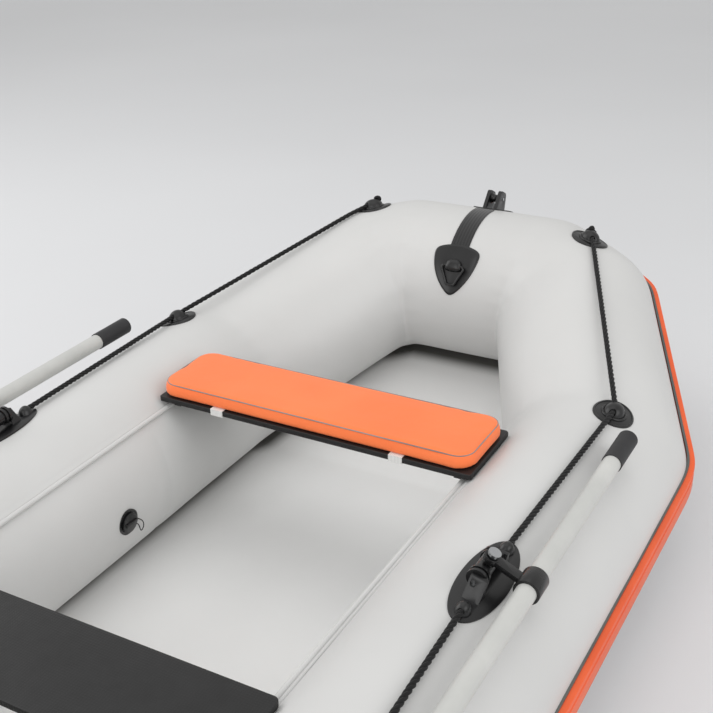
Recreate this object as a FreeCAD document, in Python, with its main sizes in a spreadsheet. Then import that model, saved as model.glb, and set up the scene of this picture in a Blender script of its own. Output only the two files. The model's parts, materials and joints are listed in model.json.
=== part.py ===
import FreeCAD, Part
import math
import os

from FreeCAD import Placement, Rotation, Vector

# Inflatable rowing dinghy. +X is the bow, +Y is port, +Z is up.
# The origin is on the underside of the bottom panel, amidships.

doc = FreeCAD.newDocument("rowing_dinghy")
sheet = doc.addObject("Spreadsheet::Sheet", "dim")

DIMENSIONS = [
    ("tube_radius", 196, "radius of the inflated tubes"),
    ("side_y", 498, "centreline of the side tubes from the keel line"),
    ("bend_x", 720, "where the side tubes turn in"),
    ("corner_x", 1238, "centreline of the bow and stern cross tubes"),
    ("corner_y", 258, "where the inward tubes would meet the cross tube"),
    ("corner_cut", 75, "length of tube that the corner gore replaces, each way"),
    ("bow_rise", 165, "rise of the bow cross tube"),
    ("stern_rise", 64, "rise of the stern cross tube"),
    ("panel_thickness", 3, "bottom panel"),
    ("bulkhead_x", 229, "where the bow and stern chambers meet"),
    ("bulkhead_thickness", 3, "fabric bulkhead with its flanges"),
    ("strake_height", 60, "rubbing strake"),
    ("strake_thickness", 13, "how far the strake stands proud"),
    ("stripe_height", 8, "grey stripe along the top of the strake"),
    ("stripe_thickness", 9, "how far the stripe stands proud"),
    ("patch_thickness", 3, "reinforcing patches"),
    ("holder_length", 98, "rope holder patch, along the tube"),
    ("holder_width", 86, "rope holder patch, round the tube"),
    ("eye_width", 44, "moulded eye of the rope holder"),
    ("eye_height", 24, "eye above the tube"),
    ("eye_hole", 13, "middle of the eye's hole above the tube"),
    ("rope_diameter", 12, "grab line"),
    ("rope_hole", 14, "hole through the eye"),
    ("eye_bend", 30, "bend of the taut line inside an eye"),
    ("seat_x", 399, "centre of the front seat"),
    ("rear_seat_x", -500, "centre of the rear seat"),
    ("board_length", 754, "seat board, across the boat"),
    ("board_width", 200, "seat board, fore and aft"),
    ("board_thickness", 12, "seat board"),
    ("board_underside", 354, "height of the boards"),
    ("pad_length", 744, "seat pad"),
    ("pad_width", 188, "seat pad"),
    ("pad_thickness", 30, "seat pad"),
    ("pad_corner", 38, "corner radius of the pad in plan"),
    ("strap_width", 30, "pad straps"),
    ("strap_thickness", 1.5, "webbing"),
    ("strap_y", 215, "pad straps from the keel line"),
    ("rail_bead", 5, "radius of the keder bead"),
    ("rail_angle", 46, "bead from the top of the tube, inboard"),
    ("rail_fore_x", 430, "fore end of the seat rails"),
    ("rail_aft_x", -670, "aft end of the seat rails"),
    ("slide_length", 150, "keder slide under a board"),
    ("slide_width", 36, "keder slide, across the boat"),
    ("oarlock_x", -30, "oarlock"),
    ("oarlock_base_length", 236, "oarlock patch"),
    ("oarlock_base_width", 84, "oarlock patch"),
    ("barrel_y", 541, "axis of the oarlock barrel"),
    ("barrel_z", 418, "axis of the oarlock barrel"),
    ("barrel_radius", 15, "oarlock barrel"),
    ("barrel_length", 76, "oarlock barrel between its cheeks"),
    ("barrel_axle", 5, "radius of the pin that the barrel turns on"),
    ("pin_radius", 6, "upright oar pin"),
    ("pin_tilt", 25, "oar pin from upright when the oar is stowed"),
    ("arm_rise", 24, "oar above the barrel axis, along the pin"),
    ("arm_reach", 75, "oar axis from the pin"),
    ("oar_radius", 17.5, "oar tube"),
    ("oar_wall", 1.5, "oar tube wall"),
    ("oar_inboard", 530, "pin to the tip of the grip"),
    ("oar_outboard", 1020, "pin to the tip of the blade"),
    ("grip_radius", 19.5, "rubber grip"),
    ("grip_length", 105, "rubber grip"),
    ("blade_length", 430, "oar blade"),
    ("blade_width", 150, "oar blade"),
    ("blade_thickness", 7, "oar blade"),
    ("blade_tilt", 60, "blade from flat, inner edge up"),
    ("tow_patch_width", 120, "patch of the tow ring"),
    ("tow_angle", 61, "middle of the tow patch from the top of the bow tube"),
    ("ring_wire", 3, "radius of the ring's wire"),
    ("bow_strap_width", 50, "webbing over the bow"),
    ("roller_tilt", 27, "bow roller forward of the top of the bow tube"),
    ("cheek_gap", 21, "between the roller's cheeks"),
    ("cheek_thickness", 9, "roller cheek"),
    ("cheek_height", 52, "roller cheek above its base"),
    ("roller_radius", 15, "bow roller"),
    ("roller_axle", 4, "radius of the roller's axle"),
    ("valve_x", 74, "valve of the stern chamber"),
    ("fore_valve_x", 560, "valve of the bow chamber"),
    ("valve_angle", 94, "valves from the top of the tube, inboard"),
    ("valve_radius", 29, "valve flange"),
    ("valve_depth", 30, "valve body inside the tube"),
    ("valve_bore", 15, "radius of the air passage"),
    ("plunger_travel", 6, "travel of the valve plunger"),
    ("handle_length", 190, "stern carry handle"),
    ("cord_diameter", 2.2, "keeper cord of the valve cap"),
]
for row, (alias, value, meaning) in enumerate(DIMENSIONS, start=1):
    sheet.set(f"A{row}", alias)
    sheet.set(f"B{row}", str(value))
    sheet.set(f"C{row}", meaning)
    sheet.setAlias(f"B{row}", alias)
doc.recompute()


def size(alias):
    """The value of one cell, in mm or degrees."""
    return float(sheet.get(alias))


subparts = []
X_AXIS, Y_AXIS, Z_AXIS = Vector(1, 0, 0), Vector(0, 1, 0), Vector(0, 0, 1)
ROUND = 180 / math.pi


# ---- helpers -------------------------------------------------------------------------------------------------

def make(kind, name, **cells):
    """A document object whose properties are bound to expressions."""
    thing = doc.addObject(kind, name)
    for prop, expression in cells.items():
        thing.setExpression(prop, expression)
    return thing


def axes(origin, along, normal):
    """A placement with local X along the piece and local Z on the outward normal."""
    return Placement(origin, Rotation(along, normal.cross(along), normal, "ZXY"))


def on_tube(axis_point, along, tilt):
    """A place on the tube's skin: tilt is in degrees from the top, outboard."""
    along = along.normalize()
    up = (Z_AXIS - along * Z_AXIS.dot(along)).normalize()
    out = up.cross(along)
    normal = up * math.cos(tilt / ROUND) + out * math.sin(tilt / ROUND)
    return axes(axis_point + normal * size("tube_radius"), along, normal)


def node(thing, name):
    """Names a finished sub-part."""
    thing.Label = name
    subparts.append(thing)
    return thing


def mirror_of(source):
    """The same piece on the other side of the keel line."""
    mirror = doc.addObject("Part::Mirroring", source.Name + "_mirror")
    mirror.Source = source
    mirror.Normal = Y_AXIS
    mirror.Base = Vector(0, 0, 0)
    return mirror


def mirrored(source, name):
    """A node that mirrors another one."""
    return node(mirror_of(source), name)


def both_sides(source, name):
    """One node with the piece and its mirror as two separate solids."""
    pair = doc.addObject("Part::Compound", name + "_pair")
    pair.Links = [source, mirror_of(source)]
    return node(pair, name)


def cylinder(name, radius, height, origin=Vector(0, 0, 0), direction=Z_AXIS):
    piece = make("Part::Cylinder", name, Radius=radius, Height=height)
    piece.Placement = Placement(origin, Rotation(Z_AXIS, direction))
    return piece


def box(name, length, width, height, corner):
    """A box whose sizes and corner are all expressions."""
    piece = make("Part::Box", name, Length=length, Width=width, Height=height)
    for coordinate, expression in zip("xyz", corner):
        piece.setExpression(f".Placement.Base.{coordinate}", expression)
    return piece


def cut(name, base, tool):
    piece = doc.addObject("Part::Cut", name)
    piece.Base, piece.Tool = base, tool
    return piece


def common(name, first, second):
    piece = doc.addObject("Part::MultiCommon", name)
    piece.Shapes = [first, second]
    return piece


def fuse(name, *pieces):
    piece = doc.addObject("Part::MultiFuse", name)
    piece.Shapes = list(pieces)
    piece.Refine = True
    return piece


def loop_face(points):
    """A flat face inside a closed outline of straight edges."""
    return Part.Face(Part.makePolygon(list(points) + [points[0]]))


def prism(name, points, along, expression):
    """A flat outline pushed along a direction by a bound length, evenly both ways."""
    outline = doc.addObject("Part::Feature", name + "_outline")
    outline.Shape = loop_face(points)
    piece = make("Part::Extrusion", name, LengthFwd=expression)
    piece.Base = outline
    piece.Dir = along
    piece.Solid = True
    piece.Symmetric = True
    return piece


def padded_outline(name, wire, expression):
    """A PartDesign body: one sketch of lines and arcs, padded evenly both ways from its XY plane."""
    body = doc.addObject("PartDesign::Body", name + "_body")
    sketch = body.newObject("Sketcher::SketchObject", name + "_sketch")
    plane = [f for f in body.Origin.OriginFeatures if f.Role == "XY_Plane"][0]
    sketch.AttachmentSupport = [(plane, "")]
    sketch.MapMode = "FlatFace"
    sketch.addGeometry([edge.Curve.trim(*edge.ParameterRange) for edge in wire.Edges], False)
    pad = body.newObject("PartDesign::Pad", name + "_pad")
    pad.Profile = sketch
    pad.SideType = "Symmetric"
    pad.setExpression("Length", expression)
    return body


def rounded_wire(points, radius):
    """A closed flat wire through the points with its corners rounded."""
    edges = []
    count = len(points)
    ends = []
    for i in range(count):
        here, before, after = points[i], points[i - 1], points[(i + 1) % count]
        back = (before - here).normalize()
        ahead = (after - here).normalize()
        half = math.acos(max(-1, min(1, back.dot(ahead)))) / 2
        trim = radius / math.tan(half)
        centre = here + (back + ahead).normalize() * (radius / math.sin(half))
        middle = centre + (here - centre).normalize() * radius
        ends.append((here + back * trim, middle, here + ahead * trim))
    for i in range(count):
        start, middle, end = ends[i]
        edges.append(Part.Arc(start, middle, end).toShape())
        following = ends[(i + 1) % count][0]
        if (following - end).Length > 1e-6:
            edges.append(Part.LineSegment(end, following).toShape())
    return Part.Wire(edges)


def cord_path(points, bend=None):
    """Straight runs joined by tangent arcs, each of radius bend or as large as its two runs allow."""
    edges, start, radii = [], points[0], []
    for before, here, after in zip(points, points[1:], points[2:]):
        back, ahead = before - here, after - here
        shorter_run = min(back.Length, ahead.Length)
        back, ahead = back.normalize(), ahead.normalize()
        half_turn = (math.pi - math.acos(max(-1, min(1, back.dot(ahead))))) / 2
        radius = bend or 0.45 * shorter_run / math.tan(half_turn)
        trim = radius * math.tan(half_turn)
        radii.append(round(radius, 1))
        towards = (back + ahead).normalize()
        reach = radius / math.cos(half_turn) - radius
        arc = Part.Arc(here + back * trim, here + towards * reach, here + ahead * trim)
        edges.append(Part.LineSegment(start, here + back * trim).toShape())
        edges.append(arc.toShape())
        start = here + ahead * trim
    edges.append(Part.LineSegment(start, points[-1]).toShape())
    return Part.Wire(edges), radii


def cord_tube(name, points, diameter, bend=None):
    """A round cord along a path of runs and arcs, checked against its section times its length."""
    path, radii = cord_path(points, bend)
    section = Part.Wire(Part.makeCircle(diameter / 2, points[0], points[1] - points[0]))
    piece = doc.addObject("Part::Feature", name)
    piece.Shape = path.makePipeShell([section], True, False)
    expected = math.pi * diameter ** 2 / 4 * path.Length
    print(name, "length", round(path.Length, 1), "radii", radii,
          "volume ratio", round(piece.Shape.Volume / expected, 4))
    return piece


# ---- hull: two air chambers in a ring --------------------------------------------------------------------------

radius = size("tube_radius")
axis_z = size("panel_thickness") + radius
bend_x, side_y = size("bend_x"), size("side_y")


def ring_end(end, rise):
    """The centreline round one end, from the port bend to the starboard bend. end is 1 for bow, -1 for stern."""
    bend = Vector(end * bend_x, side_y, axis_z)
    corner = Vector(end * size("corner_x"), size("corner_y"), axis_z + rise)
    back = (bend - corner).normalize() * size("corner_cut")
    across = Vector(0, -size("corner_cut"), 0)
    port = [bend, corner + back, corner + across]
    return port + [Vector(p.x, -p.y, p.z) for p in reversed(port)]


bow_line = ring_end(1, size("bow_rise"))
stern_line = ring_end(-1, size("stern_rise"))
face_x = size("bulkhead_thickness") / 2
fore_face, aft_face = size("bulkhead_x") + face_x, size("bulkhead_x") - face_x


def chamber(name, line, start_x):
    """A tube of round section along the centreline, mitred at each bend."""
    points = [Vector(start_x, side_y, axis_z)] + line + [Vector(start_x, -side_y, axis_z)]
    spine = doc.addObject("Part::Feature", name + "_centreline")
    spine.Shape = Part.makePolygon(points)
    section = make("Part::Circle", name + "_section", Radius="dim.tube_radius")
    section.Placement = Placement(points[0], Rotation(Z_AXIS, X_AXIS))
    tube = doc.addObject("Part::Sweep", name + "_tube")
    tube.Sections = [section]
    tube.Spine = (spine, [])
    tube.Solid = True
    tube.Transition = "Right corner"
    return tube


bow_tube = chamber("bow_air_chamber", bow_line, fore_face)
stern_tube = chamber("stern_air_chamber", stern_line, aft_face)


def bulkhead(side, y_expression):
    disc = make("Part::Cylinder", f"bulkhead_{side}_disc", Radius="dim.tube_radius", Height="dim.bulkhead_thickness")
    disc.Placement = Placement(Vector(aft_face, 0, axis_z), Rotation(Z_AXIS, X_AXIS))
    disc.setExpression(".Placement.Base.y", y_expression)
    return node(disc, f"bulkhead_{side}")


tubes = doc.addObject("Part::Compound", "tubes")
tubes.Links = [bow_tube, stern_tube, bulkhead("port", "dim.side_y"), bulkhead("starboard", "-dim.side_y")]


def ring_outline(outward):
    """The ring's centreline in plan, moved outwards by a distance."""
    plan = [Vector(p.x, p.y, 0) for p in bow_line + list(reversed(stern_line))]
    outline = []
    for i, here in enumerate(plan):
        before, after = plan[i - 1], plan[(i + 1) % len(plan)]
        first = (here - before).normalize().cross(Z_AXIS) * -1
        second = (after - here).normalize().cross(Z_AXIS) * -1
        outline.append(here + (first + second) * (outward / (1 + first.dot(second))))
    return outline


def axis_height(x):
    """Height of the tube's centreline at x."""
    rise = size("bow_rise") if x > 0 else size("stern_rise")
    ramp = max(0.0, (abs(x) - bend_x) / (size("corner_x") - bend_x))
    return axis_z + rise * ramp


def height_band(name, low, high):
    """All the space between two heights above the tube's centreline, following its rise."""
    reach = size("corner_x") + 2 * radius
    stations = [-reach, -bend_x, bend_x, reach]
    over = [Vector(x, 0, axis_height(x) + high) for x in stations]
    under = [Vector(x, 0, axis_height(x) + low) for x in reversed(stations)]
    return prism(name, over + under, Y_AXIS, "4 * dim.side_y")


def strake(name, thickness, low, high):
    """A strip round the outside of the tubes, fitted to their skin."""
    outer = prism(name + "_outer", ring_outline(radius + thickness), Z_AXIS, "8 * dim.tube_radius")
    inner = prism(name + "_inner", ring_outline(radius - size("strake_thickness")), Z_AXIS, "8 * dim.tube_radius")
    ring = cut(name + "_ring", outer, inner)
    strip = common(name + "_strip", ring, height_band(name + "_band", low, high))
    return node(cut(name, strip, tubes), name)


half_strake = size("strake_height") / 2
stripe_foot = half_strake - size("stripe_height")
strake("rubbing_strake", size("strake_thickness"), -half_strake, stripe_foot)
strake("strake_stripe", size("stripe_thickness"), stripe_foot, half_strake)


def bottom_panel():
    """A flat sheet under the tubes that turns up at both ends."""
    thickness = size("panel_thickness")

    def profile(drop, z):
        line = []
        for end, rise in ((-1, size("stern_rise")), (1, size("bow_rise"))):
            slope = math.atan(rise / (size("corner_x") - bend_x))
            knee = bend_x + drop * math.tan(slope / 2)
            tip = size("corner_x") + drop * math.sin(slope) + 15
            ends = [Vector(end * tip, 0, z + (tip - knee) * math.tan(slope)), Vector(end * knee, 0, z)]
            line += ends if end < 0 else reversed(ends)
        return line

    side = prism("bottom_profile", profile(radius, thickness) + profile(radius + thickness, 0)[::-1],
                 Y_AXIS, "4 * dim.side_y")
    plan = prism("bottom_plan", ring_outline(20), Z_AXIS, "8 * dim.tube_radius")
    node(common("bottom_panel_sheet", side, plan), "bottom_panel")


bottom_panel()


# ---- patches that lie on a tube --------------------------------------------------------------------------------
# Each is drawn in local space: the tube's axis runs along X at one tube radius below the origin.

tube_axis = Vector(-400, 0, -radius)
inner_skin = cylinder("patch_inner_skin", "dim.tube_radius", "800", tube_axis, X_AXIS)
outer_skin = cylinder("patch_outer_skin", "dim.tube_radius + dim.patch_thickness", "800", tube_axis, X_AXIS)
skin = cut("patch_skin", outer_skin, inner_skin)


def oval_block(name, length, width, height="4 * dim.eye_height"):
    """An upright block of oval section."""
    oval = make("Part::Ellipse", name + "_oval", MajorRadius=length + " / 2", MinorRadius=width + " / 2")
    block = make("Part::Extrusion", name, LengthFwd=height)
    block.Base = oval
    block.Dir = Z_AXIS
    block.Solid = True
    block.Symmetric = True
    return block


# Rope holder: an oval patch with a moulded eye. The rope passes through the eye along local X.
holder_plate = common("holder_plate", skin, oval_block("holder_block", "dim.holder_length", "dim.holder_width"))
eye_dome = make("Part::Ellipsoid", "eye_dome", Radius1="dim.eye_height", Radius2="dim.eye_width / 2 + 5",
                Radius3="dim.eye_width / 2")
eye = cut("eye", eye_dome, inner_skin)
holder_blank = fuse("holder_blank", holder_plate, eye)


def turned(name, source, place):
    """The same piece at another place."""
    piece = doc.addObject("Part::Compound", name)
    piece.Links = [source]
    piece.Placement = place
    return piece


def eye_centre(place):
    """The middle of an eye's hole."""
    return place.multVec(Vector(0, 0, size("eye_hole")))


bow_gore = bow_line[2] - bow_line[1]
stern_gore = stern_line[1] - stern_line[2]
gore_step = 40
side_eye_x = 628
HOLDER_PLACES = {
    "bow": on_tube(bow_line[1] + Vector(bow_gore).normalize() * gore_step, bow_gore, 12),
    "fore": on_tube(Vector(side_eye_x, side_y, axis_z), Vector(1, 0, 0), 16.5),
    "aft": on_tube(Vector(-side_eye_x, side_y, axis_z), Vector(1, 0, 0), 16.5),
    "stern": on_tube(stern_line[1] - Vector(stern_gore).normalize() * gore_step, stern_gore, 11),
}


# ---- grab lines: tight from eye to eye, with a knot at the outer end ---------------------------------------------

def lug_centre(end):
    """Where a grab line ends, in the fore or aft lug of the oarlock patch."""
    lug_tilt = math.asin((size("barrel_y") - side_y) / radius) * ROUND
    lug_x = size("oarlock_x") + end * (size("oarlock_base_length") / 2 - 26)
    place = on_tube(Vector(lug_x, side_y, axis_z), Vector(1, 0, 0), lug_tilt)
    return place.multVec(Vector(0, 0, 10))


def line_route(end):
    """From the outer eye to the lug. The line to the bow rests on the tube just before the outer eye."""
    outer_eye = eye_centre(HOLDER_PLACES["bow" if end > 0 else "stern"])
    side_eye = eye_centre(HOLDER_PLACES["fore" if end > 0 else "aft"])
    rest = outer_eye + (side_eye - outer_eye) * 0.12 + Z_AXIS * (5 if end > 0 else 1.5)
    return [outer_eye, rest, side_eye, lug_centre(end)]


fore_route, aft_route = line_route(1), line_route(-1)


def hole_along(name, centre, *targets):
    """A hole from an eye's middle towards each of the points that the line runs to."""
    holes = []
    for i, target in enumerate(targets):
        heading = (target - centre).normalize()
        holes.append(cylinder(f"{name}_{i}", "dim.rope_hole / 2", "60", centre - heading * 4, heading))
    return fuse(name, *holes)


for place, route, index in (("bow", fore_route, 0), ("fore", fore_route, 2), ("aft", aft_route, 2),
                            ("stern", aft_route, 0)):
    blank = turned(f"rope_holder_{place}_blank", holder_blank, HOLDER_PLACES[place])
    centre = route[index]
    before = route[index - 1] if index else centre * 2 - route[1]
    hole = hole_along(f"rope_holder_{place}_hole", centre, before, route[index + 1])
    holder = cut(f"rope_holder_{place}_cut", blank, hole)
    node(holder, f"rope_holder_{place}_port")
    mirrored(holder, f"rope_holder_{place}_starboard")

for name, route in (("grab_line_fore", fore_route), ("grab_line_aft", aft_route)):
    tip = route[0] + (route[0] - route[1]).normalize() * 36
    tube = cord_tube(name + "_tube", [tip] + route[1:], size("rope_diameter"), size("eye_bend"))
    ball = make("Part::Sphere", name + "_knot", Radius="0.95 * dim.rope_diameter")
    ball.Placement.Base = tip
    line = fuse(name + "_line", tube, ball)
    node(line, name + "_port")
    mirrored(line, name + "_starboard")


# ---- seat rails: a bead held to the tube by a strip of fabric --------------------------------------------------

def seat_rail():
    length = "dim.rail_fore_x - dim.rail_aft_x"
    start = Vector(size("rail_aft_x"), side_y, axis_z)
    low, high = size("rail_angle") / ROUND, (size("rail_angle") - 5) / ROUND
    outer = cylinder("rail_outer", "dim.tube_radius + 2.5", length, start, X_AXIS)
    inner = cylinder("rail_inner", "dim.tube_radius", length, start, X_AXIS)
    far = 2 * radius
    sector = [Vector(0, 0, 0), Vector(0, -far * math.sin(low), far * math.cos(low)),
              Vector(0, -far * math.sin(high), far * math.cos(high))]
    wedge = prism("rail_wedge", [start + p for p in sector], X_AXIS, "4 * dim.corner_x")
    strip = common("rail_strip", cut("rail_skin", outer, inner), wedge)
    reach = radius + size("rail_bead") + 0.2
    bead_axis = start + Vector(0, -reach * math.sin(low), reach * math.cos(low))
    bead = cylinder("rail_bead_rod", "dim.rail_bead", length, bead_axis, X_AXIS)
    rail = fuse("seat_rail_solid", strip, bead)
    node(rail, "seat_rail_port")
    mirrored(rail, "seat_rail_starboard")
    return bead_axis


bead_axis = seat_rail()


# ---- seats -----------------------------------------------------------------------------------------------------

def rounded_box(name, length, width, height, corner, radius_value):
    """A box with its four upright edges rounded."""
    block = box(name + "_block", length, width, height, corner)
    doc.recompute()
    rounded = doc.addObject("Part::Fillet", name + "_rounded")
    rounded.Base = block
    upright = []
    for number, edge in enumerate(block.Shape.Edges, start=1):
        if abs(edge.tangentAt(edge.FirstParameter).z) > 0.99:
            upright.append((number, radius_value, radius_value))
    rounded.Edges = upright
    return rounded


def seat(prefix, centre):
    """A board on two slides that grip the rails. centre is the cell that holds its place."""
    board = rounded_box(prefix + "_board", "dim.board_width", "dim.board_length", "dim.board_thickness",
                        (f"{centre} - dim.board_width / 2", "-dim.board_length / 2", "dim.board_underside"), 12)
    node(board, prefix + "_board")
    foot = "(dim.panel_thickness + dim.tube_radius * 1.70)"
    block = box(prefix + "_slide_block", "dim.slide_length", "dim.slide_width", f"dim.board_underside - {foot}",
                (f"{centre} - dim.slide_length / 2", "dim.board_length / 2 - 10 - dim.slide_width", foot))
    start = Vector(-2 * bend_x, side_y, axis_z)
    tube_room = cylinder(prefix + "_tube_room", "dim.tube_radius + 3.2", "4 * dim.bend_x", start, X_AXIS)
    bead_room = cylinder(prefix + "_bead_room", "dim.rail_bead + 0.6", "4 * dim.bend_x",
                         Vector(start.x, bead_axis.y, bead_axis.z), X_AXIS)
    rooms = fuse(prefix + "_rooms", tube_room, bead_room)
    slide = cut(prefix + "_slide_cut", block, rooms)
    both_sides(slide, prefix + "_slides")


seat("front_seat", "dim.seat_x")
seat("rear_seat", "dim.rear_seat_x")


def seat_pad():
    """The cushion on the front board and the two straps that hold it."""
    pad = rounded_box("seat_pad", "dim.pad_width", "dim.pad_length", "dim.pad_thickness",
                      ("dim.seat_x - dim.pad_width / 2", "-dim.pad_length / 2",
                       "dim.board_underside + dim.board_thickness + dim.strap_thickness"), size("pad_corner"))
    node(pad, "seat_pad")
    outer = box("strap_outer", "dim.board_width + 2 * dim.strap_thickness", "dim.strap_width",
                "dim.board_thickness + 2 * dim.strap_thickness",
                ("dim.seat_x - dim.board_width / 2 - dim.strap_thickness", "dim.strap_y - dim.strap_width / 2",
                 "dim.board_underside - dim.strap_thickness"))
    inner = box("strap_inner", "dim.board_width", "dim.strap_width", "dim.board_thickness",
                ("dim.seat_x - dim.board_width / 2", "dim.strap_y - dim.strap_width / 2", "dim.board_underside"))
    strap = cut("pad_strap_loop", outer, inner)
    both_sides(strap, "pad_straps")


seat_pad()


# ---- oarlocks --------------------------------------------------------------------------------------------------
# The base carries the barrel on a fore-and-aft pin. The oar turns on an upright pin through the barrel.

barrel_centre = Vector(size("oarlock_x"), size("barrel_y"), size("barrel_z"))
tilt = size("pin_tilt") / ROUND
pin_up = Vector(0, math.sin(tilt), math.cos(tilt))
reach_out = Vector(0, math.cos(tilt), -math.sin(tilt))


def oarlock_base():
    """An oval patch with a fore and an aft cheek."""
    plate_tilt = math.asin((size("barrel_y") - side_y) / radius) * ROUND
    plate = common("oarlock_plate", skin, oval_block("oarlock_block", "dim.oarlock_base_length",
                                                     "dim.oarlock_base_width"))
    drop = size("barrel_z") - axis_z - radius * math.cos(plate_tilt / ROUND)
    cheeks = []
    for end in (-1, 1):
        near = end * (size("barrel_length") / 2 + 0.5)
        foot = end * 30
        side = [Vector(near, 0, -8), Vector(near + foot, 0, -8), Vector(near + end * 8, 0, drop + 10),
                Vector(near, 0, drop + 10)]
        cheek = prism(f"oarlock_cheek_{end + 1}", side, Y_AXIS, "2 * dim.barrel_radius")
        cheeks.append(cut(f"oarlock_foot_{end + 1}", cheek, inner_skin))
        lug = make("Part::Ellipsoid", f"oarlock_lug_{end + 1}", Radius1="20", Radius2="17", Radius3="14")
        lug.Placement.Base = Vector(end * (size("oarlock_base_length") / 2 - 26), 0, 0)
        cheeks.append(cut(f"oarlock_lug_foot_{end + 1}", lug, inner_skin))
    solid = fuse("oarlock_solid", plate, *cheeks)
    local = on_tube(Vector(size("oarlock_x"), side_y, axis_z), Vector(1, 0, 0), plate_tilt)
    solid.Placement = local
    bore = cylinder("oarlock_bore", "dim.barrel_axle", "2 * dim.oarlock_base_length",
                    barrel_centre - X_AXIS * size("oarlock_base_length"), X_AXIS)
    sockets = [bore]
    for end, route in ((1, fore_route), (-1, aft_route)):
        heading = (route[2] - route[3]).normalize()
        sockets.append(cylinder(f"oarlock_socket_{end + 1}", "dim.rope_diameter / 2", "60", route[3], heading))
    base = cut("oarlock_base_cut", solid, fuse("oarlock_sockets", *sockets))
    node(base, "oarlock_base_port")
    mirrored(base, "oarlock_base_starboard")
    axle = cylinder("oarlock_axle_rod", "dim.barrel_axle", "dim.barrel_length + 22",
                    barrel_centre - X_AXIS * (size("barrel_length") / 2 + 11), X_AXIS)
    both_sides(axle, "oarlock_axles")


oarlock_base()


def oarlock_barrel():
    """A ribbed barrel with a ring at each end and a boss for the oar pin."""
    half = size("barrel_length") / 2
    core = cylinder("barrel_core", "dim.barrel_radius", "dim.barrel_length", barrel_centre - X_AXIS * half, X_AXIS)
    rings = []
    for i, x in enumerate((-half, -half + 11, half - 17, half - 6)):
        rings.append(cylinder(f"barrel_ring_{i}", "dim.barrel_radius + 3", "6", barrel_centre + X_AXIS * x, X_AXIS))
    boss = cylinder("barrel_boss", "dim.pin_radius + 5", "dim.barrel_radius + 1.5", barrel_centre, pin_up)
    body = fuse("barrel_body", core, boss, *rings)
    bore = cylinder("barrel_bore", "dim.barrel_axle + 0.05", "2 * dim.barrel_length",
                    barrel_centre - X_AXIS * 2 * half, X_AXIS)
    pin_hole = cylinder("barrel_pin_hole", "dim.pin_radius", "dim.arm_rise", barrel_centre + pin_up * 8, pin_up)
    barrel = cut("barrel_bored", cut("barrel_open", body, bore), pin_hole)
    node(barrel, "oarlock_barrel_port")
    mirrored(barrel, "oarlock_barrel_starboard")
    pin = cylinder("oar_pin_rod", "dim.pin_radius", "dim.arm_rise + 4", barrel_centre + pin_up * 8, pin_up)
    head = cylinder("oar_pin_head", "dim.pin_radius + 5", "5", barrel_centre + pin_up * (size("arm_rise") + 8.3), pin_up)
    oar_pin = fuse("oar_pin_solid", pin, head)
    node(oar_pin, "oar_pin_port")
    mirrored(oar_pin, "oar_pin_starboard")


oarlock_barrel()
oar_axis = barrel_centre + pin_up * size("arm_rise") + reach_out * size("arm_reach")


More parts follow.
